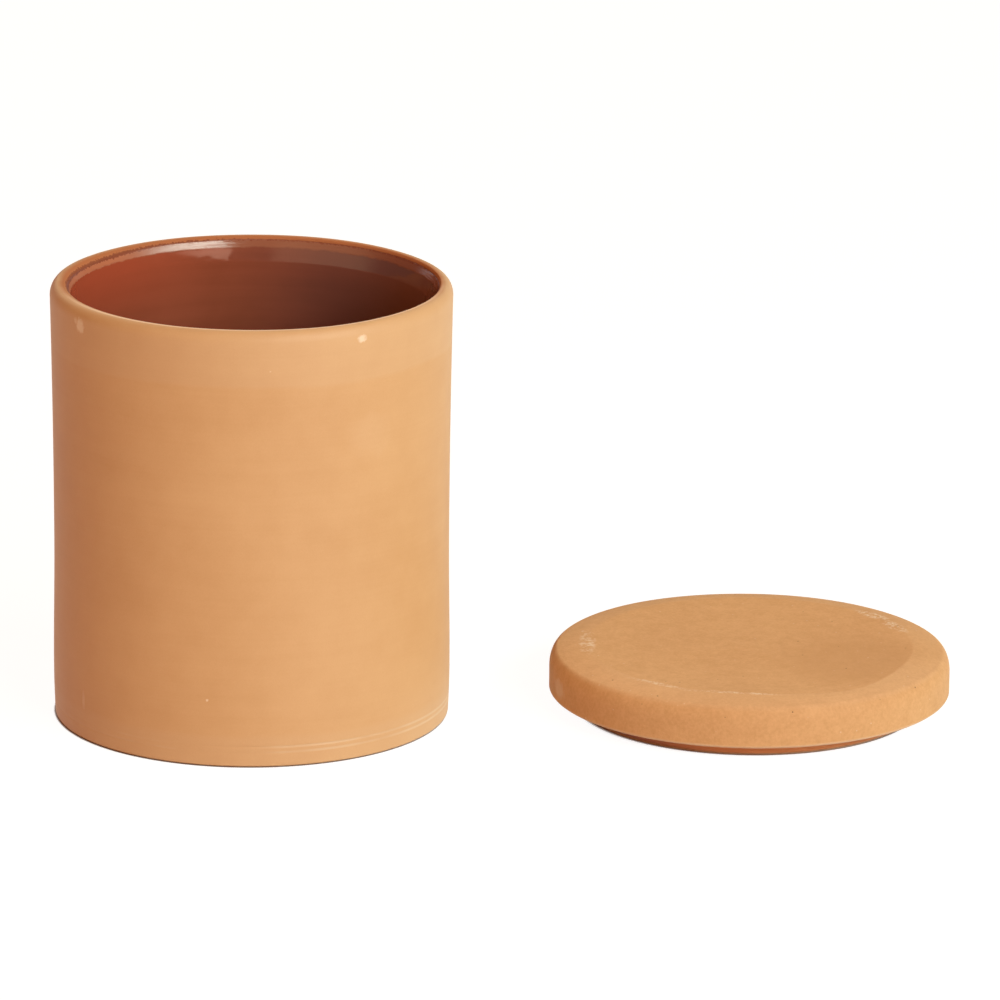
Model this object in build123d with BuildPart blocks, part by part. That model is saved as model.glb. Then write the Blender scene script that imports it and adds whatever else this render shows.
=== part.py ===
from build123d import *
from math import atan2, cos, radians, sin, tan
import os

# A terracotta kitchen canister with its loose lid lying beside it, in millimetres.
# The origin is the centre of the canister's base, +Z is up and the lid lies along +X.
# Both are turned clay shapes, raw outside and glazed where they touch food.

# Canister: the turned wall
canister_height = 142.1
waist_radius = 63.35       # narrowest outside radius, a little under half way up
waist_height = 57.0
foot_swell = 0.4           # how much wider than the waist the wall is just above the foot
foot_swell_height = 17.0
rim_flare = 0.85           # how much wider than the waist the wall is under the rim
wall_thickness = 6.05      # at the waist, glaze included
floor_thickness = 8.0      # glaze included
inside_cove = 8.0          # radius between the wall and the floor, in the clay
foot_round_width = 1.9
foot_round_height = 0.8

# Canister: the mouth
rim_round_height = 3.8     # how far down the outside the rim's rounding reaches
rim_flat = 1.4             # flat ring on top of the rim, where the lid rests
lip_width = 1.0            # soft roll from that flat to the bevel
bevel_width = 1.2          # glazed bevel that leads into the bore
bevel_depth = 3.2

# Glaze: a glassy coat fused to the clay
glaze_thickness = 0.6

# Lid
lid_clearance = 1.8        # radial play of the spigot in the glazed mouth
lid_overhang = 0.6         # how far the lid stands out past the rim
spigot_height = 4.7        # ring under the lid that keeps it centred in the mouth
spigot_width = 7.5         # radial thickness of that ring, glaze included
spigot_root = 0.8          # radius between that ring and the ledge, in bare clay
bare_foot_height = 0.6     # strip wiped free of glaze where the ring stands
foot_chamfer = 0.35
lid_side_height = 13.9     # from the ledge that rests on the rim to the shoulder on top
lid_thickness = 8.0        # between the dish on top and the hollow below, glaze included
ledge_round_width = 2.9
ledge_round_height = 1.2
shoulder_round_width = 3.05
shoulder_round_height = 6.05
shoulder_turn = 83.0       # degrees of the shoulder's ellipse, up to where the raised ring begins
crown_rise = 1.4           # how far that ring climbs from the shoulder to its inner edge
crown_width = 8.95         # from the shoulder to that edge, where the dish starts to fall
dish_flat_radius = 12.0    # level middle of the dish
dish_depth = 1.2           # below the ring's inner edge
hollow_cove = 3.0          # radius in the corner of the hollow under the lid
lid_gap = 32.0             # table between the canister and the lid lying beside it

# Sizes that follow from those
rim_radius = waist_radius + rim_flare
foot_radius = waist_radius
swell_radius = waist_radius + foot_swell
mouth_radius = waist_radius - wall_thickness
clay_bore_radius = mouth_radius + glaze_thickness
clay_floor = floor_thickness - glaze_thickness
bevel_angle = atan2(bevel_depth, bevel_width)
lip_drop = lip_width * tan(bevel_angle / 2)
bevel_top_radius = clay_bore_radius + bevel_width
bevel_top = canister_height - lip_drop
bevel_foot = bevel_top - bevel_depth
rim_flat_inside = bevel_top_radius + lip_width
rim_flat_outside = rim_flat_inside + rim_flat
rim_round_width = rim_radius - rim_flat_outside

spigot_radius = mouth_radius - lid_clearance
clay_spigot_radius = spigot_radius - glaze_thickness
hollow_radius = spigot_radius - spigot_width
clay_hollow_radius = hollow_radius + glaze_thickness
lid_radius = rim_radius + lid_overhang
lid_shoulder = spigot_height + lid_side_height
shoulder_radius = lid_radius - shoulder_round_width
dish_radius = shoulder_radius - crown_width
dish_edge = lid_shoulder + crown_rise
dish_floor = dish_edge - dish_depth
crown_across = shoulder_round_width * cos(radians(shoulder_turn))
crown_up = shoulder_round_height * sin(radians(shoulder_turn))
crown_foot = (shoulder_radius + crown_across, lid_shoulder - shoulder_round_height + crown_up)
crown_start = (
    -shoulder_round_width * sin(radians(shoulder_turn)),
    shoulder_round_height * cos(radians(shoulder_turn)),
)
hollow_ceiling = dish_floor - lid_thickness + glaze_thickness
lid_x = rim_radius + lid_gap + lid_radius

lid_plane = Plane((lid_x, 0, 0), x_dir=(1, 0, 0), z_dir=(0, -1, 0))
lid_axis = Axis((lid_x, 0, 0), (0, 0, 1))

# The clay surface that carries the lining: bevel, bore, cove and floor, down to the axis.
with BuildLine() as lined_wall:
    Line((bevel_top_radius, bevel_top), (clay_bore_radius, bevel_foot))
    Line((clay_bore_radius, bevel_foot), (clay_bore_radius, clay_floor + inside_cove))
    JernArc(
        start=(clay_bore_radius, clay_floor + inside_cove),
        tangent=(0, -1),
        radius=inside_cove,
        arc_size=-90,
    )
    Line((clay_bore_radius - inside_cove, clay_floor), (0, clay_floor))

# Canister body: raw outside, with a slight waist, a soft rim and a flat base.
with BuildPart() as canister_body:
    with BuildSketch(Plane.XZ):
        with BuildLine():
            add(lined_wall.line)
            Line((0, clay_floor), (0, 0))
            Line((0, 0), (foot_radius - foot_round_width, 0))
            EllipticalCenterArc(
                center=(foot_radius - foot_round_width, foot_round_height),
                x_radius=foot_round_width,
                y_radius=foot_round_height,
                start_angle=270,
                arc_size=90,
            )
            TangentArc(
                (swell_radius, foot_swell_height),
                (foot_radius, foot_round_height),
                tangent=(0, -1),
            )
            Spline(
                (swell_radius, foot_swell_height),
                (waist_radius, waist_height),
                tangents=((0, 1), (0, 1)),
            )
            TangentArc(
                (waist_radius, waist_height),
                (rim_radius, canister_height - rim_round_height),
                tangent=(0, 1),
            )
            EllipticalCenterArc(
                center=(rim_flat_outside, canister_height - rim_round_height),
                x_radius=rim_round_width,
                y_radius=rim_round_height,
                start_angle=0,
                arc_size=90,
            )
            Line((rim_flat_outside, canister_height), (rim_flat_inside, canister_height))
            TangentArc(
                (rim_flat_inside, canister_height),
                (bevel_top_radius, bevel_top),
                tangent=(-1, 0),
            )
        make_face()
    revolve(axis=Axis.Z)
canister_body.part.label = "canister_body"
export_step(canister_body.part, "parts/canister_body.step")

# Canister glaze: one even coat over the lined wall, from the bevel's top edge to the floor.
with BuildPart() as canister_glaze:
    with BuildSketch(Plane.XZ):
        with BuildLine():
            add(lined_wall.line)
            offset(amount=glaze_thickness, side=Side.RIGHT)
        make_face()
    revolve(axis=Axis.Z)
canister_glaze.part.label = "canister_glaze"
export_step(canister_glaze.part, "parts/canister_glaze.step")

# The clay surface of the hollow under the lid, from the bare foot up to the axis.
with BuildLine() as hollow_wall:
    Line((clay_hollow_radius, bare_foot_height), (clay_hollow_radius, hollow_ceiling - hollow_cove))
    JernArc(
        start=(clay_hollow_radius, hollow_ceiling - hollow_cove),
        tangent=(0, 1),
        radius=hollow_cove,
        arc_size=90,
    )
    Line((clay_hollow_radius - hollow_cove, hollow_ceiling), (0, hollow_ceiling))

# Lid body: a thick turned disc with a raised ring and a shallow dish on top, and the
# spigot ring below, which stands on the table here and drops into the mouth in use.
with BuildPart() as lid_body:
    with BuildSketch(lid_plane):
        with BuildLine():
            add(hollow_wall.line)
            Line((0, hollow_ceiling), (0, dish_floor))
            Line((0, dish_floor), (dish_flat_radius, dish_floor))
            TangentArc(
                (dish_flat_radius, dish_floor),
                (dish_radius, dish_edge),
                tangent=(1, 0),
            )
            TangentArc(crown_foot, (dish_radius, dish_edge), tangent=crown_start)
            EllipticalCenterArc(
                center=(shoulder_radius, lid_shoulder - shoulder_round_height),
                x_radius=shoulder_round_width,
                y_radius=shoulder_round_height,
                start_angle=0,
                arc_size=shoulder_turn,
            )
            Line(
                (lid_radius, lid_shoulder - shoulder_round_height),
                (lid_radius, spigot_height + ledge_round_height),
            )
            EllipticalCenterArc(
                center=(lid_radius - ledge_round_width, spigot_height + ledge_round_height),
                x_radius=ledge_round_width,
                y_radius=ledge_round_height,
                start_angle=270,
                arc_size=90,
            )
            Line(
                (lid_radius - ledge_round_width, spigot_height),
                (clay_spigot_radius + spigot_root, spigot_height),
            )
            JernArc(
                start=(clay_spigot_radius + spigot_root, spigot_height),
                tangent=(-1, 0),
                radius=spigot_root,
                arc_size=90,
            )
            Polyline(
                (clay_spigot_radius, spigot_height - spigot_root),
                (clay_spigot_radius, foot_chamfer),
                (clay_spigot_radius - foot_chamfer, 0),
                (clay_hollow_radius + foot_chamfer, 0),
                (clay_hollow_radius, foot_chamfer),
                (clay_hollow_radius, bare_foot_height),
            )
        make_face()
    revolve(axis=lid_axis)
lid_body.part.label = "lid_body"
export_step(lid_body.part, "parts/lid_body.step")

# Spigot glaze: a band round the outside of the ring, from the bare foot up to the root.
with BuildPart() as lid_spigot_glaze:
    with BuildSketch(lid_plane):
        with BuildLine():
            Polyline(
                (clay_spigot_radius, bare_foot_height),
                (spigot_radius, bare_foot_height + glaze_thickness),
                (spigot_radius, spigot_height - spigot_root),
                (clay_spigot_radius, spigot_height - spigot_root),
                close=True,
            )
        make_face()
    revolve(axis=lid_axis)
lid_spigot_glaze.part.label = "lid_spigot_glaze"
export_step(lid_spigot_glaze.part, "parts/lid_spigot_glaze.step")

# Underside glaze: the coat over the wall and ceiling of the hollow under the lid.
with BuildPart() as lid_underside_glaze:
    with BuildSketch(lid_plane):
        with BuildLine():
            add(hollow_wall.line)
            offset(amount=glaze_thickness, side=Side.LEFT)
        make_face()
    revolve(axis=lid_axis)
lid_underside_glaze.part.label = "lid_underside_glaze"
export_step(lid_underside_glaze.part, "parts/lid_underside_glaze.step")
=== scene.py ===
from math import cos, pi, radians, sin

import bpy
import numpy as np
from mathutils import Matrix, Vector


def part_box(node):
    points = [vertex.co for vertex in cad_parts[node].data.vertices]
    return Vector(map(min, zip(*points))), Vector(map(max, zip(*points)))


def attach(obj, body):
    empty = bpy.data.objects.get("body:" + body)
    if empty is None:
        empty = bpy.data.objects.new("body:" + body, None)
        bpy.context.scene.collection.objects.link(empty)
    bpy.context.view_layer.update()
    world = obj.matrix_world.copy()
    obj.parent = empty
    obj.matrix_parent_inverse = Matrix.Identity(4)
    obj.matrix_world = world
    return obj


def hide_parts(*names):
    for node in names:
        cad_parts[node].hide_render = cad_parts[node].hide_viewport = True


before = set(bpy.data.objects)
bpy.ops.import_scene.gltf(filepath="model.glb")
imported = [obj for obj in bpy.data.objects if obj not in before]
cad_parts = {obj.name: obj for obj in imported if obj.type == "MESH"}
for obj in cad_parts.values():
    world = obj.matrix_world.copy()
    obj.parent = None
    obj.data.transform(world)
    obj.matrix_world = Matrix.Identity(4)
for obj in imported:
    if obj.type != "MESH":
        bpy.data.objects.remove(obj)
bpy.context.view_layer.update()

# The camera stands 2.6 m away behind a long lens, almost in front of the canister, and looks
# down by 16 degrees. All lengths in this file are in metres.
camera_yaw = radians(3.2372)
camera_pitch = radians(15.9868)
camera_roll = radians(0.4644)
camera_distance = 2.597
camera_aim = Vector((0.07973, 0, 0.06917))
ahead = Vector((sin(camera_yaw) * cos(camera_pitch), cos(camera_yaw) * cos(camera_pitch), -sin(camera_pitch)))
level_right = Vector((cos(camera_yaw), -sin(camera_yaw), 0))
right = cos(camera_roll) * level_right + sin(camera_roll) * level_right.cross(ahead)
up = right.cross(ahead)
lens = bpy.data.cameras.new("camera")
lens.sensor_width = 36
lens.lens = 290.99
camera = bpy.data.objects.new("camera", lens)
camera.matrix_world = Matrix.Translation(camera_aim - camera_distance * ahead) @ Matrix(
    (right, up, -ahead)).transposed().to_4x4()
bpy.context.scene.collection.objects.link(camera)
bpy.context.scene.camera = camera
bpy.context.scene.view_settings.view_transform = "Standard"

# The table is a wide sheet of white paper in a room that the camera sees white. Glossy rays see
# it white only behind the pieces and dim elsewhere, but for the front left, and diffuse rays meet
# its warm light. A painted contact shadow, a fine dark line drawn by ambient occlusion, broader at
# the lid and leaning away from the main lamp, darkens the paper where the pieces touch it.
table_half_width = 4.0
paper_glow = 0.95
contact_shadow_colour = (0.06, 0.02, 0.01, 1)
contact_shadow_reach = 0.0011
lid_contact_shadow_reach = 0.0024
contact_shadow_lean = (0.55, -0.35, 0.76)
paper_shade = 0.22
paper_bounce = (0.60, 0.60, 0.60, 1)
room_light = (0.400, 0.172, 0.030, 1)
room_dim = (0.10, 0.10, 0.10, 1)
room_left = (0.64, 0.50, 0.34, 1)


def node(tree, kind, **settings):
    """A shader node of that kind. Settings that name an input give it a value or link an output to
    it, and the others set the node itself."""
    made = tree.nodes.new("ShaderNode" + kind)
    for name, value in settings.items():
        if hasattr(made, name):
            setattr(made, name, value)
            continue
        socket = made.inputs[int(name[1:])] if name[0] == "_" else made.inputs[name.replace("_", " ")]
        if isinstance(value, bpy.types.NodeSocket):
            tree.links.new(value, socket)
        else:
            socket.default_value = value
    return made


def sums(tree, operation, first, second):
    """One Math node: first and second, each a number or an output."""
    return node(tree, "Math", operation=operation, _0=first, _1=second).outputs[0]


def from_to(tree, value, low, high):
    """0 at low, 1 at high and a smooth step between. With low above high it falls instead."""
    made = node(tree, "MapRange", interpolation_type="SMOOTHSTEP", Value=value)
    made.inputs["From Min"].default_value = min(low, high)
    made.inputs["From Max"].default_value = max(low, high)
    made.inputs["To Min"].default_value = 0 if low < high else 1
    made.inputs["To Max"].default_value = 1 if low < high else 0
    return made.outputs[0]


def blend(tree, share, first, second):
    """The first colour where share is 0, the second where it is 1."""
    made = node(tree, "Mix", data_type="RGBA", _0=share, _6=first, _7=second)
    return made.outputs[2]


def seen_directly(tree, glossy_share=1.0):
    """1 for camera and transmission rays, glossy_share for glossy rays, and 0 for the rest; and
    beside it 1 for every glossy ray."""
    rays = node(tree, "LightPath")
    glossy = sums(tree, "MULTIPLY", rays.outputs["Is Glossy Ray"], glossy_share)
    straight_on = sums(tree, "MAXIMUM", rays.outputs["Is Camera Ray"], rays.outputs["Is Transmission Ray"])
    return sums(tree, "MAXIMUM", straight_on, glossy), rays.outputs["Is Glossy Ray"]


room = bpy.data.worlds.new("white_room")
bpy.context.scene.world = room
room.use_nodes = True
tree = room.node_tree
tree.nodes.clear()
direction = node(tree, "SeparateXYZ", Vector=node(tree, "TexCoord").outputs["Generated"])
behind = from_to(tree, direction.outputs["Y"], 0.55, 0.85)
to_left = sums(tree, "MULTIPLY", from_to(tree, direction.outputs["X"], -0.15, -0.35),
               from_to(tree, direction.outputs["Y"], 0.05, -0.35))
white_share, glossy = seen_directly(tree, behind)
mirrored = blend(tree, to_left, room_dim, room_left)
colour = blend(tree, white_share, blend(tree, glossy, room_light, mirrored), (1, 1, 1, 1))
light = node(tree, "Background", Color=colour)
tree.links.new(light.outputs[0], node(tree, "OutputWorld").inputs["Surface"])

paper = bpy.data.materials.new("white_paper")
paper.use_nodes = True
tree = paper.node_tree
tree.nodes.clear()
bounce = node(tree, "BsdfDiffuse", Color=paper_bounce)
lean = node(tree, "CombineXYZ", X=contact_shadow_lean[0], Y=contact_shadow_lean[1], Z=contact_shadow_lean[2]).outputs[0]
across = node(tree, "SeparateXYZ", Vector=node(tree, "TexCoord").outputs["Object"]).outputs["X"]
reach = sums(tree, "MULTIPLY", from_to(tree, across, 0.075, 0.085), lid_contact_shadow_reach - contact_shadow_reach)
reach = sums(tree, "ADD", reach, contact_shadow_reach)
# painted contact shadow: ambient occlusion, leaning away from the main lamp, darkens the paper's glow beside
# the pieces
nearness = node(tree, "AmbientOcclusion", samples=8, Distance=reach, Normal=lean).outputs["AO"]
glow = blend(tree, from_to(tree, nearness, 0.50, 0.80), contact_shadow_colour,
             (paper_glow, paper_glow, paper_glow, 1))
glow = node(tree, "Emission", Color=glow, Strength=1.0)
shade = node(tree, "BsdfDiffuse", Color=(paper_shade, paper_shade, paper_shade, 1))
shown = node(tree, "AddShader", _0=glow.outputs[0], _1=shade.outputs[0])
white_share = seen_directly(tree)[0]
choice = node(tree, "MixShader", _0=white_share, _1=bounce.outputs[0], _2=shown.outputs[0])
tree.links.new(choice.outputs[0], node(tree, "OutputMaterial").inputs["Surface"])

table_mesh = bpy.data.meshes.new("table")
corners = table_half_width * np.array([(-1, -1, 0), (1, -1, 0), (1, 1, 0), (-1, 1, 0)])
table_mesh.from_pydata(corners.tolist(), [], [(0, 1, 2, 3)])
table_mesh.materials.append(paper)
table = bpy.data.objects.new("table", table_mesh)
bpy.context.scene.collection.objects.link(table)

# One large softbox stands front right, a bright core over a warm skirt, and a low reddish card
# fills from the front left. Each faces a point half way up the canister, a little to the right.
lamps_aim = Vector((0.04, 0, 0.08))
fade_start = 0.30


def lamp(name, azimuth, elevation, distance, width, height, radiance, colour,
         fades=False, turn=0.0, mirrored=True):
    """A rectangular lamp at that azimuth, from the camera's side towards the lid, and elevation. If
    it fades, it is full over the share fade_start of its width and falls in a smooth step to nothing
    at the far end. It is turned in its own plane by turn, and the glaze shows it if mirrored."""
    data = bpy.data.lights.new(name, "AREA")
    data.shape = "RECTANGLE"
    data.size, data.size_y = width, height
    data.energy = radiance * pi * width * height
    data.color = colour
    if fades:
        data.use_nodes = True
        across = node(data.node_tree, "NewGeometry").outputs["Parametric"]
        across = node(data.node_tree, "SeparateXYZ", Vector=across).outputs["X"]
        level = from_to(data.node_tree, across, 1.0, fade_start)
        data.node_tree.links.new(level, data.node_tree.nodes["Emission"].inputs["Strength"])
    away = Vector((sin(azimuth) * cos(elevation), -cos(azimuth) * cos(elevation), sin(elevation)))
    made = bpy.data.objects.new(name, data)
    made.matrix_world = (Matrix.Translation(lamps_aim + distance * away)
                         @ away.to_track_quat("Z", "Y").to_matrix().to_4x4() @ Matrix.Rotation(turn, 4, "Z"))
    made.visible_camera = False
    made.visible_glossy = mirrored
    bpy.context.scene.collection.objects.link(made)


lamp("softbox_core", radians(50), radians(27), 2.0, 2.75, 0.56, 11.2, (0.95, 0.98, 0.86), fades=True)
lamp("softbox_skirt", radians(36), radians(8.2), 2.1, 1.90, 0.40, 2.5, (1.0, 0.61, 0.44),
     fades=True, turn=radians(5))
lamp("low_card", radians(-45), radians(4), 2.2, 2.4, 0.70, 1.42, (1.0, 0.14, 0.01), mirrored=False)

# Canister: one thick-walled pot turned from terracotta and fired without glaze outside. Its
# wall is fine and smooth, with faint rings from turning, a soft rim and a slightly swelled foot.
canister_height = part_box("canister_body")[1].z
waist_radius = 0.06335
waist_height = 0.057
foot_swell = 0.0004
foot_swell_height = 0.017
rim_flare = 0.00085
foot_round_width = 0.0019
foot_round_height = 0.0008
rim_round_height = 0.0038
rim_round_width = 0.0027
rim_flat = 0.0010
rim_start = canister_height - rim_round_height
rim_radius = waist_radius + rim_flare
lip_width = 0.00128
lip_drop = 0.0012
bevel_top_radius = 0.0591
bevel_top_height = canister_height - 0.00108
bevel_foot_radius = 0.0582
bevel_foot_height = canister_height - 0.0034
lead_in_height = canister_height - 0.0082
mouth_offset = 0.0006
offset_start_radius = 0.0607
offset_start_width = 0.0012
edge_dip = 0.0006
edge_dip_angle = radians(152)
edge_dip_spread = 0.10
bore_radius = 0.0573
floor_height = 0.0080
cove_radius = 0.0074
coat_thickness = 0.0006
clay_behind_glaze = 0.00035
foot_lines = (0.0068, 0.0050)
foot_line_width = 0.00035
foot_line_depth = 0.00010
foot_line_wander = 0.00025
close_rows = (0.0036, 0.0086)
out_of_round = 0.00004
rim_wave = 0.00005
rim_wave_start = 0.97
rim_wave_share = 0.03


def arc(centre, across, tall, start, end, count):
    """Points of an ellipse: centre + (across cos t, tall sin t), for t from start to end in degrees."""
    t = np.radians(np.linspace(start, end, count))
    return np.column_stack((centre[0] + across * np.cos(t), centre[1] + tall * np.sin(t)))


def straight(first, last, count):
    """Points spaced evenly from first to last."""
    return np.linspace(first, last, count)


def waves(angle, counts, seed):
    """A closed wave round the pot: the sum of cosines with those counts per turn, each with its own
    phase drawn from the seed, over the square root of how many there are."""
    phases = np.random.default_rng(seed).uniform(0, 2 * pi, len(counts))
    return sum(np.cos(n * angle + phase) for n, phase in zip(counts, phases)) / len(counts) ** 0.5


def turned(name, outline, centre_x=0.0, around=384, unevenness=None):
    """A turned solid: each outline point (r, z) is carried round the upright axis at centre_x, to
    (centre_x + r cos v, r sin v, z). unevenness(r, z, v) gives small changes of r and z. An outline
    from axis to axis closes in two single points, and any other closes on itself."""
    has_poles = outline[0, 0] == 0
    line = outline[1:-1] if has_poles else outline
    v = np.linspace(0, 2 * pi, around, endpoint=False)
    r, z, v = np.broadcast_arrays(line[:, :1], line[:, 1:], v[None, :])
    if unevenness:
        change_r, change_z = unevenness(r, z, v)
        r, z = r + change_r, z + change_z
    points = np.stack((centre_x + r * np.cos(v), r * np.sin(v), z), axis=-1).reshape(-1, 3)
    here = np.arange(r.size).reshape(r.shape)
    beside = np.roll(here, -1, axis=1)
    after, beside_after = np.roll(here, -1, axis=0), np.roll(beside, -1, axis=0)
    walls = np.stack((here, beside, beside_after, after), axis=-1)
    if has_poles:
        walls = walls[:-1]
        first = np.full(around, len(points))
        ends = [(centre_x, 0, outline[0, 1]), (centre_x, 0, outline[-1, 1])]
        caps = (np.stack((first, beside[0], here[0]), axis=-1).tolist()
                + np.stack((here[-1], beside[-1], first + 1), axis=-1).tolist())
        points = np.vstack((points, ends))
    else:
        caps = []
    mesh = bpy.data.meshes.new(name)
    mesh.from_pydata(points, [], walls.reshape(-1, 4).tolist() + caps)
    mesh.shade_smooth()
    made = bpy.data.objects.new(name, mesh)
    bpy.context.scene.collection.objects.link(made)
    return made


def wall_radius(z):
    """The waist, plus a parabola that flares up to the rim, plus the foot's swell, which fades
    upwards in a smooth step and downwards in a parabola."""
    flare = rim_flare * (np.clip(z - waist_height, 0, None) / (rim_start - waist_height)) ** 2
    t = np.clip((waist_height - z) / (waist_height - foot_swell_height), 0, 1)
    below = (np.clip(foot_swell_height - z, 0, None) / (foot_swell_height - foot_round_height)) ** 2
    return waist_radius + flare + foot_swell * (t * t * (3 - 2 * t) - below)


def mouth_shift(r, z, v):
    """The bevel was cut a little off centre, towards the lid: r grows by a cosine of the angle, from
    nothing at the lead-in's foot and at the rim's flat to mouth_offset at the bevel. The bevel's
    top edge sinks by edge_dip in a soft bell round edge_dip_angle."""
    up_the_lead_in = np.clip((z - lead_in_height) / (bevel_foot_height - lead_in_height), 0, 1)
    up_the_bevel = np.clip((z - bevel_foot_height) / (bevel_top_height - bevel_foot_height), 0, 1)
    in_from_the_flat = np.clip((offset_start_radius - r) / offset_start_width, 0, 1)
    dip = edge_dip * np.exp((np.cos(v - edge_dip_angle) - 1) / edge_dip_spread)
    change_r = mouth_offset * np.cos(v) * up_the_lead_in * in_from_the_flat
    return change_r, -dip * up_the_bevel * in_from_the_flat


def mouth_line(back_off):
    """The lined face from the bevel's top to the floor's middle, moved back_off into the clay: the
    steep bevel, a lead-in that widens as a power of its height, the straight bore, the cove, which
    is a quarter circle, and the flat floor."""
    lead_in = straight((bevel_foot_radius, bevel_foot_height), (bore_radius, lead_in_height), 16)
    lead_in[:, 0] = bore_radius + (bevel_foot_radius - bore_radius) * (
        (lead_in[:, 1] - lead_in_height) / (bevel_foot_height - lead_in_height)) ** 1.15
    line = np.vstack((
        straight((bevel_top_radius, bevel_top_height), lead_in[0], 12)[:-1],
        lead_in,
        straight((bore_radius, lead_in_height), (bore_radius, floor_height + cove_radius), 24)[1:],
        arc((bore_radius - cove_radius, floor_height + cove_radius), cove_radius, cove_radius,
            0, -90, 14)[1:],
        straight((bore_radius - cove_radius, floor_height), (0, floor_height), 22)[1:],
    ))
    step = np.gradient(line, axis=0)
    step /= np.linalg.norm(step, axis=1)[:, None]
    return np.column_stack((np.where(line[:, 0] > 0, line[:, 0] - back_off * step[:, 1], 0),
                            line[:, 1] + back_off * step[:, 0]))


# The wall's rows stand close together at the two foot lines. Under the glaze the clay reaches a
# little into the coat, so that no gap shows at the coat's edge.
wall_heights = np.concatenate((np.linspace(foot_round_height, close_rows[0], 8)[:-1],
                               np.linspace(close_rows[0], close_rows[1], 36)[:-1],
                               np.linspace(close_rows[1], rim_start, 66)))
clay_outline = np.vstack((
    straight((0, 0), (waist_radius - foot_round_width, 0), 12)[:-1],
    arc((waist_radius - foot_round_width, foot_round_height), foot_round_width, foot_round_height,
        -90, 0, 8)[:-1],
    np.column_stack((wall_radius(wall_heights), wall_heights)),
    arc((rim_radius - rim_round_width, rim_start), rim_round_width, rim_round_height, 0, 90, 18)[1:],
    straight((rim_radius - rim_round_width, canister_height),
             (rim_radius - rim_round_width - rim_flat, canister_height), 5)[1:],
    arc((rim_radius - rim_round_width - rim_flat, canister_height - lip_drop), lip_width, lip_drop,
        90, 168, 8)[1:],
    mouth_line(clay_behind_glaze),
))


def clay_unevenness(r, z, v):
    """Out of round by a few hundredths of a millimetre, more towards the rim; a rim that rises and
    falls by as little; and two fine lines near the foot that fade in and out round the pot."""
    outside = r > bevel_foot_radius + 0.002
    high = z / canister_height
    change_r = out_of_round * high * waves(v, (2, 3, 5), 4) * outside
    for height, seed in zip(foot_lines, (11, 12)):
        fade = np.clip(0.5 + 0.6 * waves(v, (1, 2, 3, 5), seed), 0, 1)
        height = height + foot_line_wander * waves(v, (1, 2), seed + 5)
        groove = np.exp(-((z - height) / foot_line_width) ** 2)
        change_r = change_r - foot_line_depth * fade * outside * groove
    up_the_rim = np.clip((high - rim_wave_start) / rim_wave_share, 0, 1)
    change_z = rim_wave * waves(v, (2, 3, 4, 7), 8) * up_the_rim - rim_wave * (high > rim_wave_start)
    shift_r, shift_z = mouth_shift(r, z, v)
    return change_r + shift_r, change_z + shift_z


def mottle(tree, place, size, detail=2.0):
    """Smooth noise from 0 to 1 whose lumps are about size across."""
    return node(tree, "TexNoise", Vector=place, Scale=1 / size, Detail=detail, Roughness=0.55).outputs[0]


def length(tree, vector):
    """The vector's length."""
    return node(tree, "VectorMath", operation="LENGTH", _0=vector).outputs[1]


def stretched(tree, place, across, tall, centre=(0, 0, 0)):
    """The place seen from centre, in units of across sideways and of tall upwards."""
    moved = node(tree, "VectorMath", operation="SUBTRACT", _0=place, _1=centre).outputs[0]
    return node(tree, "VectorMath", operation="MULTIPLY", _0=moved,
                _1=(1 / across, 1 / across, 1 / tall)).outputs[0]


def spot(tree, place, centre, across, tall, ragged=0.5, edge=0.5):
    """1 inside a patch of that half width and half height round centre, and 0 outside it, with a
    ragged outline and a soft edge: the stretched distance plus noise, through a smooth step."""
    away = length(tree, stretched(tree, place, across, tall, centre))
    rough = mottle(tree, place, (across + tall) * 0.35, 3)
    away = sums(tree, "ADD", away, sums(tree, "MULTIPLY", sums(tree, "SUBTRACT", rough, 0.5), ragged * 2))
    return from_to(tree, away, 1 + edge / 2, 1 - edge / 2)


def off_axis(tree, place):
    """Distance of the place from the upright axis through its origin."""
    return length(tree, node(tree, "VectorMath", operation="MULTIPLY", _0=place, _1=(1, 1, 0)).outputs[0])


def bump(tree, skin, strength, distance, relief):
    """Tilts the skin's normal as if the relief, from 0 to 1, stood out by distance."""
    made = node(tree, "Bump", Strength=strength, Distance=distance, Height=relief)
    tree.links.new(made.outputs[0], skin.inputs["Normal"])


clay_dark = (0.628, 0.384, 0.185, 1)
clay_light = (0.734, 0.505, 0.278, 1)
clay_pale = (0.770, 0.640, 0.480, 1)
mark_pale = (0.900, 0.800, 0.680, 1)
lip_highlight_pale = (0.950, 0.760, 0.610, 1)
clay_stained = (0.480, 0.155, 0.052, 1)
crumb_colour = (0.230, 0.045, 0.018, 1)
band_height = 0.1232
canister_marks = (
    # height, degrees from +X, half width, half height, strength: paler patches on the wall
    (0.1366, -148.6, 0.0019, 0.0022, 1.00),
    (0.1378, -150.9, 0.0008, 0.0010, 0.60),
    (0.1377, -58.9, 0.0014, 0.0011, 0.85),
    (0.1057, -55.7, 0.0070, 0.0065, 0.05),
    (0.0135, -148.6, 0.0007, 0.0026, 0.25),
    (0.1296, -86.2, 0.0003, 0.0003, 0.60),
    (0.0220, -104.2, 0.0004, 0.0004, 0.80),
)

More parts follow.
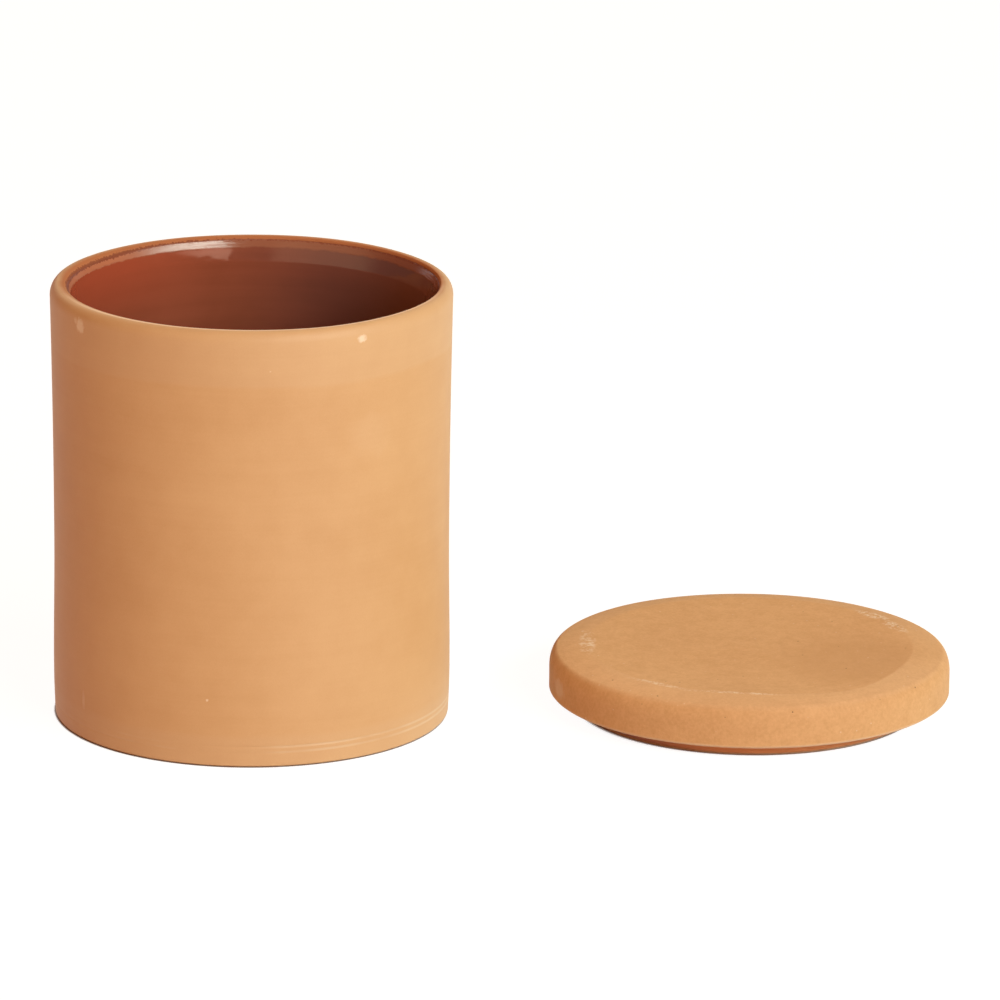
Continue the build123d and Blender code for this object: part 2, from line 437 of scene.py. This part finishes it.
raw_terracotta = bpy.data.materials.new("raw_terracotta_turned")
raw_terracotta.use_nodes = True
tree = raw_terracotta.node_tree
skin = tree.nodes["Principled BSDF"]
place = node(tree, "TexCoord").outputs["Object"]
apart = node(tree, "SeparateXYZ", Vector=place)
depth, height = apart.outputs["Y"], apart.outputs["Z"]
from_axis = off_axis(tree, place)
clouds = mottle(tree, place, 0.045, 3)
flecks = mottle(tree, place, 0.009, 3)
rings = mottle(tree, stretched(tree, place, 0.20, 0.0055), 1, 3)
fine_rings = mottle(tree, stretched(tree, place, 0.05, 0.0011), 1, 2)
grain = mottle(tree, place, 0.00045, 2)
tone = sums(tree, "MULTIPLY", clouds, 0.55)
for part, share in ((flecks, 0.30), (rings, 0.20), (fine_rings, 0.10), (grain, 0.30)):
    tone = sums(tree, "ADD", tone, sums(tree, "MULTIPLY", part, share))
tone = from_to(tree, tone, 0.24, 1.21)
colour = blend(tree, tone, clay_dark, clay_light)
band = from_to(tree, sums(tree, "ADD", height, sums(tree, "MULTIPLY", clouds, 0.004)),
               band_height + 0.0018, band_height + 0.0038)
colour = blend(tree, sums(tree, "MULTIPLY", band, 0.14), colour, clay_pale)
foot = from_to(tree, sums(tree, "ADD", height, sums(tree, "MULTIPLY", flecks, 0.002)), 0.0125, 0.0095)
colour = blend(tree, sums(tree, "MULTIPLY", foot, 0.12), colour, clay_pale)
for line in foot_lines:
    near = sums(tree, "ABSOLUTE", sums(tree, "SUBTRACT", height, line), 0)
    share = sums(tree, "MULTIPLY", from_to(tree, near, 0.0006, 0.0001), from_to(tree, clouds, 0.42, 0.60))
    colour = blend(tree, sums(tree, "MULTIPLY", share, 0.55), colour, clay_pale)
for mark_height, degrees, across, tall, strength in canister_marks:
    centre = (0.0638 * cos(radians(degrees)), 0.0638 * sin(radians(degrees)), mark_height)
    share = sums(tree, "MULTIPLY", spot(tree, place, centre, across, tall, 0.7, 0.9), strength)
    colour = blend(tree, share, colour, mark_pale)
on_rim = from_to(tree, height, canister_height - 0.0030, canister_height - 0.0012)
behind = from_to(tree, depth, -0.045, 0.005)
to_glaze = from_to(tree, sums(tree, "ADD", from_axis, sums(tree, "MULTIPLY", flecks, 0.0012)), 0.0630, 0.0606)
stain = sums(tree, "MULTIPLY", sums(tree, "MULTIPLY", to_glaze, on_rim),
             sums(tree, "ADD", sums(tree, "MULTIPLY", behind, 0.75), 0.15))
colour = blend(tree, stain, colour, clay_stained)
# painted highlight: a pale line on the rim's top near its inner edge, strongest at the front, stands in for
# the light the rim's edge catches
front_rim_highlight = sums(tree, "MULTIPLY", from_to(tree, height, canister_height - 0.00030, canister_height - 0.00008),
            sums(tree, "SUBTRACT", 0.90, sums(tree, "MULTIPLY", behind, 0.85)))
front_rim_highlight = sums(tree, "MULTIPLY", front_rim_highlight, from_to(tree, from_axis, 0.0598, 0.0602))
front_rim_highlight = sums(tree, "MULTIPLY", front_rim_highlight, from_to(tree, from_axis, 0.0617, 0.0610))
colour = blend(tree, front_rim_highlight, colour, lip_highlight_pale)
crumbs = sums(tree, "ADD", from_axis, sums(tree, "MULTIPLY", mottle(tree, place, 0.0009, 3), 0.0016))
crumbs = sums(tree, "MULTIPLY", from_to(tree, crumbs, 0.06005, 0.05985), 0.75)
colour = blend(tree, sums(tree, "MULTIPLY", crumbs, on_rim), colour, crumb_colour)
# painted shade: the lowest 0.8 mm of the foot is darkened with the crumb colour where it meets the table
canister_foot_shade = from_to(tree, height, 0.0008, 0.0003)
colour = blend(tree, sums(tree, "MULTIPLY", canister_foot_shade, 0.20), colour, crumb_colour)
tree.links.new(colour, skin.inputs["Base Color"])
roughness = sums(tree, "ADD", 0.52, sums(tree, "MULTIPLY", grain, 0.12))
tree.links.new(sums(tree, "ADD", roughness, sums(tree, "MULTIPLY", stain, 0.30)), skin.inputs["Roughness"])
skin.inputs["Specular IOR Level"].default_value = 0.8
skin.inputs["Diffuse Roughness"].default_value = 0.5
relief = sums(tree, "ADD", sums(tree, "MULTIPLY", fine_rings, 0.25), sums(tree, "MULTIPLY", rings, 0.30))
relief = sums(tree, "ADD", sums(tree, "MULTIPLY", grain, 0.5), relief)
bump(tree, skin, 0.35, 0.00012, relief)

canister = turned("canister_clay", clay_outline, unevenness=clay_unevenness)
canister.data.materials.append(raw_terracotta)
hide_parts("canister_body")
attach(canister, "canister")

# Canister lining: a clear glossy glaze poured inside, red-brown over the clay. It runs from a
# crumbly edge at the top of the bevel, where it is thin and paler, down the bore and over the floor.
edge_radius = 0.05926
edge_height = canister_height - 0.00096
crumb_reach = 0.00010
crumb_rise = 0.00006
crumb_fade = 0.00035
run_depth = 0.00002
run_height = 0.0012
lining_face = mouth_line(0)
lining_back = mouth_line(coat_thickness)[::-1]
lining_outline = np.vstack((
    lining_back[:-1],
    straight(lining_back[-2], (edge_radius + 0.0001, edge_height - 0.00016), 3)[1:],
    (edge_radius, edge_height - 0.00002),
    straight((edge_radius - 0.00008, edge_height), lining_face[0], 4),
    lining_face[1:],
))


def lining_unevenness(r, z, v):
    """The glaze's edge creeps out and back in fine crumbs, which shrink exponentially with the depth
    below it. Where the glaze ran, the face waves in and out by a few hundredths of a millimetre, in
    a bell round run_height above the lead-in's foot. The mouth's shift comes on top."""
    near_edge = np.exp(-np.clip(edge_height - z, 0, None) / crumb_fade) * (z > canister_height - 0.003)
    crumbs = waves(v, (9, 17, 31, 53, 71, 97, 128, 151), 21)
    runs = np.exp(-((z - lead_in_height - run_height) / run_height) ** 2)
    runs = runs * waves(v, (11, 23, 37, 52, 68), 23)
    shift_r, shift_z = mouth_shift(r, z, v)
    return (crumb_reach * near_edge * crumbs + run_depth * runs + shift_r,
            crumb_rise * near_edge * crumbs + shift_z)


glaze_bright = (0.316, 0.088, 0.050, 1)
glaze_deep = (0.248, 0.070, 0.038, 1)
glaze_lit_upper_left = (0.430, 0.088, 0.045, 1)
glaze_shaded_right = (0.218, 0.094, 0.084, 1)
glaze_thin = (0.342, 0.130, 0.078, 1)
glaze_dry_and_lit = (0.500, 0.175, 0.090, 1)
inside_glaze = bpy.data.materials.new("inside_glaze_red_brown")
inside_glaze.use_nodes = True
tree = inside_glaze.node_tree
skin = tree.nodes["Principled BSDF"]
place = node(tree, "TexCoord").outputs["Object"]
clouds = mottle(tree, place, 0.030, 3)
streaks = mottle(tree, stretched(tree, place, 0.08, 0.004), 1, 3)
peel = mottle(tree, place, 0.0035, 2)
apart = node(tree, "SeparateXYZ", Vector=place)
side, height = apart.outputs["X"], apart.outputs["Z"]
tone = from_to(tree, sums(tree, "ADD", clouds, sums(tree, "MULTIPLY", streaks, 0.6)), 0.55, 1.05)
colour = blend(tree, tone, glaze_deep, glaze_bright)
# painted light: the upper bore on the left, where the main lamp shines in over the rim, is painted a brighter
# red
painted_light_upper_left = sums(tree, "MULTIPLY", from_to(tree, height, canister_height - 0.032, canister_height - 0.006),
             from_to(tree, side, 0.0, -0.055))
colour = blend(tree, sums(tree, "MULTIPLY", painted_light_upper_left, 0.9), colour, glaze_lit_upper_left)
# painted shade: towards +X, where the bore lies in shade, the glaze blends into a browner, less red copy
# fitted to its shaded look
colour = blend(tree, from_to(tree, side, -0.012, 0.050), colour, glaze_shaded_right)
ragged = sums(tree, "ADD", height, sums(tree, "MULTIPLY", mottle(tree, place, 0.0025, 3), 0.0012))
thin = from_to(tree, ragged, bevel_foot_height + 0.0002, bevel_foot_height + 0.0010)
colour = blend(tree, thin, colour, glaze_thin)
# the bevel's dry, crumbly left side is painted paler as well, standing in for the light that falls on it
# there; it also gets wider crumbs and a matte finish
dry_and_lit = sums(tree, "MULTIPLY", thin, from_to(tree, side, -0.024, -0.046))
colour = blend(tree, dry_and_lit, colour, glaze_dry_and_lit)
crumbs = sums(tree, "ADD", height, sums(tree, "MULTIPLY", mottle(tree, place, 0.0008, 3), 0.0020))
crumbs = sums(tree, "ADD", crumbs, sums(tree, "MULTIPLY", dry_and_lit, 0.0007))
crumbs = from_to(tree, crumbs, edge_height + 0.0006, edge_height + 0.0008)
crumbs = sums(tree, "MULTIPLY", crumbs, sums(tree, "ADD", 0.55, sums(tree, "MULTIPLY", dry_and_lit, 0.30)))
tree.links.new(blend(tree, crumbs, colour, crumb_colour), skin.inputs["Base Color"])
rim_zone = from_to(tree, height, edge_height - 0.0004, edge_height - 0.0001)
matte = sums(tree, "MAXIMUM", rim_zone, sums(tree, "MULTIPLY", dry_and_lit, 0.75))
tree.links.new(sums(tree, "ADD", sums(tree, "ADD", 0.10, sums(tree, "MULTIPLY", thin, 0.08)),
                    sums(tree, "MULTIPLY", matte, 0.50)), skin.inputs["Roughness"])
tree.links.new(sums(tree, "SUBTRACT", 0.35, sums(tree, "MULTIPLY", matte, 0.35)), skin.inputs["Coat Weight"])
skin.inputs["IOR"].default_value = 1.52
skin.inputs["Coat Roughness"].default_value = 0.04
ridges = mottle(tree, stretched(tree, place, 0.016, 0.0007), 1, 3)
relief = sums(tree, "ADD", peel, sums(tree, "MULTIPLY", sums(tree, "MULTIPLY", ridges, thin), 5.0))
bump(tree, skin, 0.25, 0.00010, relief)

lining = turned("canister_lining", lining_outline, around=512, unevenness=lining_unevenness)
lining.data.materials.append(inside_glaze)
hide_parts("canister_glaze")
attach(lining, "canister")

# Lid: a thick disc turned from the same clay, left raw and sandy. A soft raised ring runs
# round a shallow dish on top, and a short ring below drops into the canister's mouth.
lid_low, lid_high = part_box("lid_body")
lid_x = (lid_low.x + lid_high.x) / 2
lid_radius = (lid_high.x - lid_low.x) / 2
lid_shoulder = 0.0186
spigot_height = 0.0047
spigot_radius = 0.0549
spigot_root = 0.0008
foot_chamfer = 0.00035
hollow_radius = 0.0486
hollow_ceiling = 0.0114
hollow_cove = 0.0030
bare_foot = 0.0006
ledge_round_width = 0.0029
ledge_round_height = 0.0012
shoulder_round_width = 0.00305
shoulder_round_height = 0.00605
shoulder_turn = 83.0
crown_foot_radius = lid_radius - shoulder_round_width * (1 - cos(radians(shoulder_turn)))
crown_foot_height = lid_shoulder - shoulder_round_height * (1 - sin(radians(shoulder_turn)))
dish_radius = 0.0528
dish_edge = 0.0200
dish_flat = 0.012
dish_depth = 0.0012
edge_softness = 0.0004
edge_samples = 7
edge_bulge = 0.0038
bulge_angle = radians(-60)
bulge_spread = 0.07
close_rings = (0.0575, 0.0515)


def ring_climb(r):
    """Height of the raised ring's outside. It climbs from the shoulder to dish_edge at dish_radius:
    at the share u of the way in, it has 1.57 u - 0.57 u squared of the climb, so it flattens."""
    u = np.clip((crown_foot_radius - r) / (crown_foot_radius - dish_radius), 0, 1)
    return crown_foot_height + (dish_edge - crown_foot_height) * u * (1.57 - 0.57 * u)


def lid_top(r, v=pi):
    """Height of the raised ring and the dish: the ring's climb to its inner edge, then a parabola
    down to the dish's flat middle, with the edge between them averaged soft. On the side at
    bulge_angle the edge lies further out."""
    edge = dish_radius + edge_bulge * np.exp((np.cos(v - bulge_angle) - 1) / bulge_spread)
    height = 0
    for away in np.linspace(-edge_softness, edge_softness, edge_samples):
        x = np.clip((r + away - dish_flat) / (edge - dish_flat), 0, 1)
        dish = dish_edge - dish_depth + (ring_climb(edge) - dish_edge + dish_depth) * x * x
        height = height + np.where(r + away < edge, dish, ring_climb(r + away))
    return height / edge_samples


# The top's rows stand close together at the dish's edge.
top_radii = np.concatenate((np.linspace(crown_foot_radius, close_rings[0], 16)[1:],
                            np.linspace(close_rings[0], close_rings[1], 34)[1:],
                            np.linspace(close_rings[1], 0, 50)[1:]))
hollow_line = np.vstack((
    straight((0, hollow_ceiling), (hollow_radius - hollow_cove, hollow_ceiling), 12),
    arc((hollow_radius - hollow_cove, hollow_ceiling - hollow_cove), hollow_cove, hollow_cove, 90, 0, 10)[1:],
    straight((hollow_radius, hollow_ceiling - hollow_cove), (hollow_radius, bare_foot), 6)[1:],
))
lid_outline = np.vstack((
    hollow_line,
    straight((hollow_radius, foot_chamfer), (hollow_radius + foot_chamfer, 0), 3),
    straight((hollow_radius + foot_chamfer, 0), (spigot_radius - foot_chamfer, 0), 6)[1:],
    straight((spigot_radius, foot_chamfer), (spigot_radius, spigot_height - spigot_root), 8),
    arc((spigot_radius + spigot_root, spigot_height - spigot_root), spigot_root, spigot_root,
        180, 90, 6)[1:],
    straight((spigot_radius + spigot_root, spigot_height),
             (lid_radius - ledge_round_width, spigot_height), 8)[1:],
    arc((lid_radius - ledge_round_width, spigot_height + ledge_round_height), ledge_round_width,
        ledge_round_height, -90, 0, 12)[1:],
    straight((lid_radius, spigot_height + ledge_round_height),
             (lid_radius, lid_shoulder - shoulder_round_height), 12)[1:],
    arc((lid_radius - shoulder_round_width, lid_shoulder - shoulder_round_height), shoulder_round_width,
        shoulder_round_height, 0, shoulder_turn, 24)[1:],
    np.column_stack((top_radii, lid_top(top_radii))),
))


def lid_unevenness(r, z, v):
    """The edge is out of round by a few hundredths, the top waves as slightly, as a hand-finished
    disc does, and the dish's edge bulges out on one side."""
    outer = np.clip((r - 0.056) / 0.008, 0, 1)
    top = np.clip((z - 0.012) / 0.006, 0, 1)
    shift = np.where((z > 0.016) & (r < crown_foot_radius), lid_top(r, v) - lid_top(r), 0)
    return ((-0.00004 + 0.00003 * waves(v, (2, 3, 5), 31)) * outer,
            (-0.00005 + 0.00004 * waves(v, (2, 3, 6), 33)) * top + shift)


lid_colour_dark = (0.611, 0.370, 0.180, 1)
lid_colour_light = (0.744, 0.495, 0.266, 1)
damp_colour = (0.556, 0.325, 0.150, 1)
lid_pale = (0.830, 0.720, 0.600, 1)
pore_colour = (0.171, 0.080, 0.042, 1)
scuff_height = 0.004
scuffs = (
    # distance from the lid's axis, degrees from +X, half length, half width, strength
    (0.0525, 176, 0.0140, 0.0030, 0.85),
    (0.0528, -128, 0.0120, 0.0014, 0.75),
    (0.0526, -101, 0.0160, 0.0012, 0.95),
    (0.0540, 37, 0.0080, 0.0032, 1.00),
    (0.0528, 22, 0.0090, 0.0028, 1.00),
    (0.0557, 162, 0.0006, 0.0006, 0.90),
)

raw_lid_clay = bpy.data.materials.new("raw_terracotta_sandy")
raw_lid_clay.use_nodes = True
tree = raw_lid_clay.node_tree
skin = tree.nodes["Principled BSDF"]
place = node(tree, "VectorMath", operation="SUBTRACT", _0=node(tree, "TexCoord").outputs["Object"],
             _1=(lid_x, 0, 0)).outputs[0]
side, depth, height = node(tree, "SeparateXYZ", Vector=place).outputs
from_axis = off_axis(tree, place)
clouds = mottle(tree, place, 0.030, 4)
flecks = mottle(tree, place, 0.0040, 4)
sand = mottle(tree, place, 0.0010, 3)
grain = mottle(tree, place, 0.00040, 2)
round_and_round = node(tree, "CombineXYZ", X=sums(tree, "MULTIPLY", from_axis, 600),
                       Y=sums(tree, "MULTIPLY", depth, 12), Z=sums(tree, "MULTIPLY", side, 12))
turned_rings = mottle(tree, round_and_round.outputs[0], 1, 2)
tone = sums(tree, "MULTIPLY", clouds, 0.50)
for part, share in ((flecks, 0.60), (sand, 0.65), (grain, 0.40), (turned_rings, 0.20)):
    tone = sums(tree, "ADD", tone, sums(tree, "MULTIPLY", part, share))
tone = from_to(tree, tone, 0.70, 1.65)
colour = blend(tree, tone, lid_colour_dark, lid_colour_light)
along = sums(tree, "ADD", sums(tree, "MULTIPLY", side, cos(bulge_angle)),
             sums(tree, "MULTIPLY", depth, sin(bulge_angle)))
along = sums(tree, "SUBTRACT", sums(tree, "DIVIDE", along, sums(tree, "MAXIMUM", from_axis, 0.001)), 1)
bulge = sums(tree, "EXPONENT", sums(tree, "DIVIDE", along, bulge_spread), 0)
bulge = sums(tree, "MULTIPLY", bulge, edge_bulge)
within = from_to(tree, sums(tree, "SUBTRACT", from_axis, bulge), dish_radius + 0.0004, dish_radius - 0.0008)
damp = sums(tree, "MULTIPLY", spot(tree, place, (0.034, -0.021, 0.0190), 0.025, 0.4, 0.6, 0.9), within)
colour = blend(tree, sums(tree, "MULTIPLY", damp, 0.42), colour, damp_colour)
rubbed = spot(tree, place, (-0.0625, -0.0160, 0.0105), 0.0040, 0.0030, 0.6, 0.9)
colour = blend(tree, sums(tree, "MULTIPLY", rubbed, 0.50), colour, lid_pale)
# painted highlight: the raised ring outside the dish is painted paler, more so towards the front, standing in
# for light on its crest
crest_painted_highlight = sums(tree, "MULTIPLY", sums(tree, "SUBTRACT", 1, within), from_to(tree, height, 0.0168, 0.0184))
highlight_to_front = sums(tree, "ADD", 0.02, sums(tree, "MULTIPLY", from_to(tree, depth, -0.005, -0.040), 0.09))
colour = blend(tree, sums(tree, "MULTIPLY", crest_painted_highlight, highlight_to_front), colour, lid_pale)
arris = from_to(tree, sums(tree, "ADD", height, sums(tree, "MULTIPLY", flecks, 0.0006)), 0.0066, 0.0059)
colour = blend(tree, sums(tree, "MULTIPLY", arris, 0.45), colour, lid_pale)
chalk = from_to(tree, sums(tree, "ADD", flecks, sums(tree, "MULTIPLY", sand, 0.8)), 0.80, 1.10)
for distance, degrees, long, wide, strength in scuffs:
    away = node(tree, "VectorRotate", rotation_type="Z_AXIS", Vector=place,
                Angle=-radians(degrees)).outputs[0]
    away = node(tree, "VectorMath", operation="SUBTRACT", _0=away, _1=(distance, 0, dish_edge)).outputs[0]
    away = node(tree, "VectorMath", operation="MULTIPLY", _0=away,
                _1=(1 / wide, 1 / long, 1 / scuff_height)).outputs[0]
    share = sums(tree, "MULTIPLY", from_to(tree, length(tree, away), 1.1, 0.5), chalk)
    colour = blend(tree, sums(tree, "MULTIPLY", share, strength), colour, lid_pale)
cells = node(tree, "TexVoronoi", Vector=place, Scale=1 / 0.0042)
pores = sums(tree, "MULTIPLY", from_to(tree, cells.outputs["Distance"], 0.085, 0.05),
             from_to(tree, node(tree, "SeparateColor", Color=cells.outputs["Color"]).outputs[0], 0.80, 0.84))
colour = blend(tree, sums(tree, "MULTIPLY", pores, 0.75), colour, pore_colour)
cells = node(tree, "TexVoronoi", Vector=place, Scale=1 / 0.0026)
bright = sums(tree, "MULTIPLY", from_to(tree, cells.outputs["Distance"], 0.13, 0.07),
              from_to(tree, node(tree, "SeparateColor", Color=cells.outputs["Color"]).outputs[1], 0.80, 0.84))
colour = blend(tree, sums(tree, "MULTIPLY", bright, 0.50), colour, lid_pale)
# painted shade: the lowest 0.9 mm of the lid's foot is darkened all round with the pore colour
lid_foot_shade = sums(tree, "MULTIPLY", from_to(tree, height, 0.0009, 0.0004), 0.25)
colour = blend(tree, lid_foot_shade, colour, pore_colour)
tree.links.new(colour, skin.inputs["Base Color"])
tree.links.new(sums(tree, "ADD", 0.62, sums(tree, "MULTIPLY", sand, 0.14)), skin.inputs["Roughness"])
skin.inputs["Specular IOR Level"].default_value = 0.4
skin.inputs["Diffuse Roughness"].default_value = 0.6
relief = sums(tree, "ADD", sums(tree, "MULTIPLY", grain, 0.6),
              sums(tree, "ADD", sums(tree, "MULTIPLY", sand, 1.0), sums(tree, "MULTIPLY", turned_rings, 0.5)))
relief = sums(tree, "SUBTRACT", relief, sums(tree, "MULTIPLY", pores, 2.0))
bump(tree, skin, 0.45, 0.00018, relief)

lid = turned("lid_clay", lid_outline, centre_x=lid_x, unevenness=lid_unevenness)
lid.data.materials.append(raw_lid_clay)
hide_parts("lid_body")
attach(lid, "lid")

# Lid glaze: the same clear glaze, duller, in a band round the outside of the spigot ring and
# over the hollow inside it. The foot that the ring stands on is wiped bare. The glaze's colour
# is painted far paler than the canister's glaze, standing in for light in the ledge's shadow,
# and low down on the left side it is darkened as painted shade.
glaze_foot = bare_foot + 0.0006
band_top = spigot_height - spigot_root
band_radius = spigot_radius + coat_thickness
band_round = 0.0003
band_outline = np.vstack((
    arc((spigot_radius, glaze_foot), coat_thickness, glaze_foot - bare_foot, -90, 0, 6),
    straight((band_radius, glaze_foot), (band_radius, band_top - band_round), 6)[1:],
    arc((band_radius - band_round, band_top - band_round), band_round, band_round, 0, 90, 5)[1:],
    straight((band_radius - band_round, band_top), (spigot_radius, band_top), 3)[1:],
    straight((spigot_radius, band_top), (spigot_radius, bare_foot), 5)[1:-1],
))
glazed_ceiling = hollow_ceiling - coat_thickness
glazed_cove = hollow_cove - coat_thickness
hollow_face = np.vstack((
    straight((0, glazed_ceiling), (hollow_radius - hollow_cove, glazed_ceiling), 12),
    arc((hollow_radius - hollow_cove, hollow_ceiling - hollow_cove), glazed_cove, glazed_cove,
        90, 0, 10)[1:],
    straight((hollow_radius - coat_thickness, hollow_ceiling - hollow_cove),
             (hollow_radius - coat_thickness, glaze_foot), 6)[1:],
))
hollow_outline = np.vstack((hollow_face, hollow_line[::-1]))

# painted light: these colours are far paler than the canister's glaze, raised to stand in for light in the
# ledge's shadow
lid_glaze_lit_bright = (0.820, 0.390, 0.180, 1)
lid_glaze_lit_deep = (0.740, 0.320, 0.135, 1)
lid_glaze_shaded = (0.200, 0.060, 0.030, 1)
lid_glaze = bpy.data.materials.new("lid_glaze_red_brown")
lid_glaze.use_nodes = True
tree = lid_glaze.node_tree
skin = tree.nodes["Principled BSDF"]
place = node(tree, "TexCoord").outputs["Object"]
patches = mottle(tree, place, 0.012, 3)
peel = mottle(tree, place, 0.0025, 2)
apart = node(tree, "SeparateXYZ", Vector=place)
side, height = apart.outputs["X"], apart.outputs["Z"]
colour = blend(tree, from_to(tree, patches, 0.3, 0.7), lid_glaze_lit_deep, lid_glaze_lit_bright)
# painted shade: low down on the left side the glaze is darkened
painted_shade_left = sums(tree, "MULTIPLY", from_to(tree, side, lid_x - 0.002, lid_x - 0.050), 0.80)
painted_shade_left = sums(tree, "MULTIPLY", painted_shade_left, from_to(tree, height, 0.0042, 0.0010))
colour = blend(tree, painted_shade_left, colour, lid_glaze_shaded)
tree.links.new(colour, skin.inputs["Base Color"])
skin.inputs["Roughness"].default_value = 0.42
skin.inputs["IOR"].default_value = 1.38
bump(tree, skin, 0.25, 0.00010, peel)

for name, outline, cad_node in (("lid_spigot_band", band_outline, "lid_spigot_glaze"),
                                ("lid_hollow_lining", hollow_outline, "lid_underside_glaze")):
    coat = turned(name, outline, centre_x=lid_x)
    coat.data.materials.append(lid_glaze)
    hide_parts(cad_node)
    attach(coat, "lid")
